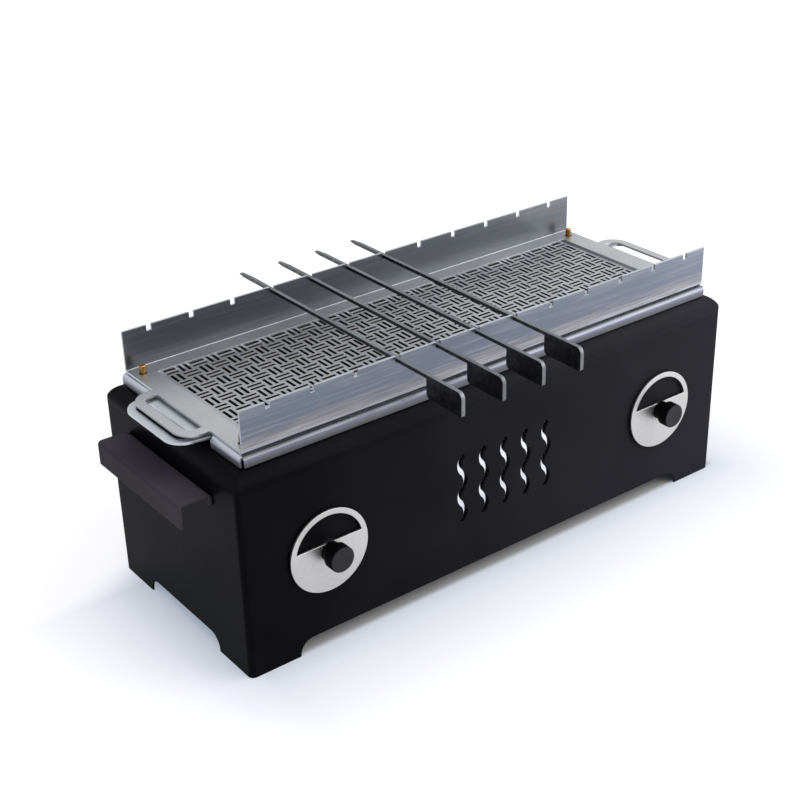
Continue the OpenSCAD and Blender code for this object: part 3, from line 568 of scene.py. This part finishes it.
# The back wall's ramps are painted shade: darker, and lighter towards the right end.
back_scale = scaled_wall(
    "mill_stainless_back", rack_box,
    [(0.0, "#C8C8C8"), (0.35, "#D4D4D4"), (0.6, "#EAEAEA"), (0.93, "#ECECEC"), (1.0, "#FFFFFF")],
    [(0.0, "#7C7E82"), (0.25, "#73767C"), (0.7, "#72757B"), (1.0, "#7F838A")],
    "#7D7972", warm_share=0.3)
cut_edge = pickled_stainless("laser_cut_edge", "#9FA6AE", "#BCC4CC")
rack = crisp_copy("skewer_rack", 0.25 * MM, [rack_base, front_scale, back_scale, cut_edge], "rack")
# The outer faces of the bends take the walls' materials, with their painted highlight and shade.
bend_r, faces_out, faces_up = 3 * MM, 0.15, 0.2
middle, normal = faces(rack)
front = middle[:, 1] < plate_middle
outer_bend = abs(middle[:, 1] - plate_middle) > (high.y - low.y) / 2 - bend_r
outer_bend &= (abs(normal[:, 1]) > faces_out) & (normal[:, 2] < faces_up)
wall = (middle[:, 2] > low.z + bend_r) | outer_bend
paint(rack, wall & front, 1)
paint(rack, wall & ~front, 2)
paint(rack, wall & (abs(normal[:, 1]) < cut_face), 3)
rack_tongue_out = 30 * MM
rack_root = high.x - rack_tongue_out
solid_tongue = tongue_sizes(
    high.x, width=99 * MM, corner_r=25 * MM, grip_w=12.5 * MM, finger_w=14.5 * MM,
    finger_l=77 * MM, finger_r=12.5 * MM)
shown_tongue = tongue_sizes(
    rack_root + 25.5 * MM, width=100 * MM, corner_r=20 * MM, grip_w=9 * MM, finger_w=15.5 * MM,
    finger_l=79 * MM, finger_r=9 * MM)
fit_tongues(rack, plate_middle, rack_root, solid_tongue, shown_tongue)

# Skewers
# Stainless, laser-cut and tumbled: the flat sides keep a dark mottled scale, and the edges are brighter.
# As in the photograph, the copies are 4 mm thick and their blades 3.7 mm high, where the solids have 3 and
# 5.5 mm.


def respace(points, chosen, axis, middle, old, new):
    """Moves the chosen points of a table along an axis: the distance d from the middle, on either
    side of it, becomes interp(d, old, new)."""
    off = points[chosen, axis] - middle
    points[chosen, axis] = middle + np.copysign(np.interp(abs(off), old, new), off)


tree, shader, place = finish("tumbled_scale", Metallic=1.0)
mottle = add(tree, "TexNoise", {"Vector": place, "Scale": 1 / (7 * MM), "Detail": 6.0, "Roughness": 0.65})
colour = add(tree, "ValToRGB", {"Fac": mottle.outputs[0]},
             stops=[(0.32, "#38383B"), (0.52, "#505054"), (0.72, "#6B6A6C")])
tree.links.new(colour.outputs[0], shader.inputs["Base Color"])
gloss = add(tree, "MapRange", {"Value": mottle.outputs[0], "To Min": 0.42, "To Max": 0.28})
tree.links.new(gloss.outputs[0], shader.inputs["Roughness"])
bump = add(tree, "Bump", {"Height": mottle.outputs[0], "Strength": 0.3, "Distance": 0.1 * MM})
tree.links.new(bump.outputs[0], shader.inputs["Normal"])
dark_side = bpy.data.materials["tumbled_scale"]
bright_edge = pickled_stainless("tumbled_edge", "#676B70", "#7D8287", rough=0.55)
skewer_t, blade_h, solid_blade_h = 4 * MM, 3.7 * MM, 5.5 * MM
tag_l, tag_top_r, margin = 47.5 * MM, 6 * MM, 1 * MM
drop, flat_side, everywhere = solid_blade_h - blade_h, 0.9, slice(None)
for number in range(1, 5):
    name = "skewer_%d" % number
    skewer = crisp_copy(name, 0.35 * MM, [bright_edge, dark_side], name)
    middle, normal = faces(skewer)
    paint(skewer, abs(normal[:, 0]) > flat_side, 1)
    low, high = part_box(name)
    points = points_of(skewer)
    blade_low, corner_low = high.z - solid_blade_h, low.z + tag_top_r
    on_tag = points[:, 1] < low.y + tag_l - margin
    on_blade = ~on_tag & (points[:, 2] > blade_low)
    on_tag &= points[:, 2] > corner_low
    respace(points, everywhere, 0, (low.x + high.x) / 2, [0, (high.x - low.x) / 2], [0, skewer_t / 2])
    respace(points, on_blade, 2, blade_low, [0, solid_blade_h], [0, blade_h])
    flat_h, tag_rest_h = high.z - tag_top_r - corner_low, high.z - corner_low
    respace(points, on_tag, 2, corner_low, [0, flat_h, tag_rest_h], [0, flat_h - drop, tag_rest_h - drop])
    put_points(skewer, points)

# Studio
# A wide white floor, which the studio lights evenly from a hand's width beside the casing on, soft light
# from above and from the right, and the camera at the photograph's place. What the floor gives off to the
# camera rises with the distance from the casing's foot, and rises sooner behind it and at its left end: a
# painted shadow round the foot, nearly black under the casing.


def seen_directly(tree):
    """1 for rays from the camera, a mirror or a clear piece, and 0 for light that falls on the object."""
    path = add(tree, "LightPath")
    seen = add(tree, "Math", {0: path.outputs["Is Camera Ray"], 1: path.outputs["Is Glossy Ray"]},
               operation="MAXIMUM")
    seen = add(tree, "Math", {0: seen.outputs[0], 1: path.outputs["Is Transmission Ray"]},
               operation="MAXIMUM")
    return seen.outputs[0]


tree, shader, place = finish("studio_floor", Roughness=0.9, **{"Specular IOR Level": 0.0})
shader.inputs["Base Color"].default_value = linear("#BFBCB9")
foot_middle, foot_half, shade_reach = (10 * MM, 17 * MM, 0.0), (286 * MM, 109 * MM, 0.0), 200 * MM
behind_from, behind_to, behind_more = 95 * MM, 145 * MM, 180 * MM
left_from, left_to, left_more = -276 * MM, -330 * MM, 50 * MM
beside = add(tree, "VectorMath", {0: place, 1: foot_middle}, operation="SUBTRACT")
beside = add(tree, "VectorMath", {0: beside.outputs[0]}, operation="ABSOLUTE")
beside = add(tree, "VectorMath", {0: beside.outputs[0], 1: foot_half}, operation="SUBTRACT")
beside = add(tree, "VectorMath", {0: beside.outputs[0], 1: (0.0, 0.0, 0.0)}, operation="MAXIMUM")
away = add(tree, "VectorMath", {0: beside.outputs[0]}, operation="LENGTH")
axis = add(tree, "SeparateXYZ", {"Vector": place})
behind = add(tree, "MapRange", {
    "Value": axis.outputs[1], "From Min": behind_from, "From Max": behind_to, "To Max": behind_more})
left_end = add(tree, "MapRange", {
    "Value": axis.outputs[0], "From Min": left_from, "From Max": left_to, "To Max": left_more})
away = add(tree, "Math", {0: away.outputs["Value"], 1: behind.outputs[0]}, operation="ADD")
away = add(tree, "Math", {0: away.outputs[0], 1: left_end.outputs[0]}, operation="ADD")
spread = add(tree, "MapRange", {"Value": away.outputs[0], "From Max": shade_reach})
# Painted shadow: nearly black under the casing, rising with the distance from its foot.
glow = add(tree, "ValToRGB", {"Fac": spread.outputs[0]}, stops=[
    (0.0, "#15171B"), (0.013, "#54606B"), (0.03, "#8692A1"), (0.075, "#949DAB"), (0.155, "#A3AAB5"),
    (0.285, "#AFB4BD"), (0.45, "#BBBFCA"), (0.71, "#D0D2D8"), (1.0, "#DDDDE0")])
tree.links.new(glow.outputs[0], shader.inputs["Emission Color"])
tree.links.new(seen_directly(tree), shader.inputs["Emission Strength"])
floor_mesh = bpy.data.meshes.new("floor")
floor_half = 12.0
square = np.array([(-1, -1, 0), (1, -1, 0), (1, 1, 0), (-1, 1, 0)]) * floor_half
floor_mesh.from_pydata(square, [], [(0, 1, 2, 3)])
floor_mesh.materials.append(bpy.data.materials["studio_floor"])
floor = bpy.data.objects.new("floor", floor_mesh)
bpy.context.collection.objects.link(floor)

world = bpy.data.worlds.new("studio")
bpy.context.scene.world = world
world.use_nodes = True
tree = world.node_tree
tree.nodes.clear()
soft = add(tree, "Background", {"Color": linear("#E2E9FA"), "Strength": 0.5})
white = add(tree, "Background", {"Color": (1.0, 1.0, 1.0, 1.0), "Strength": 1.0})
both = add(tree, "MixShader", {0: seen_directly(tree), 1: soft.outputs[0], 2: white.outputs[0]})
add(tree, "OutputWorld", {"Surface": both.outputs[0]})


def lamp(name, kind, toward, **settings):
    """Lamp that shines from the direction toward, given as azimuth and elevation in degrees."""
    light = bpy.data.lights.new(name, kind)
    for key, value in settings.items():
        setattr(light, key, value)
    shining = bpy.data.objects.new(name, light)
    shining.rotation_euler = (math.radians(90 - toward[1]), 0, math.radians(toward[0]))
    bpy.context.collection.objects.link(shining)
    return shining


lamp("key", "SUN", (25, 52), energy=1.1, angle=math.radians(70), color=(1.0, 0.985, 0.96))
side = lamp("side", "AREA", (62, 30), energy=40.0, shape="RECTANGLE", size=3.0, size_y=2.0,
            color=(1.0, 0.99, 0.98))
side.location = (1.75, -1.0, 1.15)

azimuth, elevation, roll = (math.radians(a) for a in (-36.7136, 27.4470, -1.5035))
back = np.array([math.sin(azimuth) * math.cos(elevation), -math.cos(azimuth) * math.cos(elevation),
                 math.sin(elevation)])
level = np.cross(-back, [0, 0, 1])
level /= np.linalg.norm(level)
upright = np.cross(level, -back)
right = math.cos(roll) * level + math.sin(roll) * upright
up = -math.sin(roll) * level + math.cos(roll) * upright
camera_place = (-0.80541, -1.01428, 0.81350)
camera = bpy.data.objects.new("camera", bpy.data.cameras.new("camera"))
camera.data.sensor_width = 36.0
camera.data.lens = 66.73
camera.data.clip_start = 0.05
camera.data.clip_end = 60.0
turned = np.eye(4)
turned[:3, :3] = np.column_stack([right, up, back])
turned[:3, 3] = camera_place
camera.matrix_world = Matrix(turned.tolist())
bpy.context.collection.objects.link(camera)
bpy.context.scene.camera = camera
bpy.context.scene.view_settings.view_transform = "Standard"
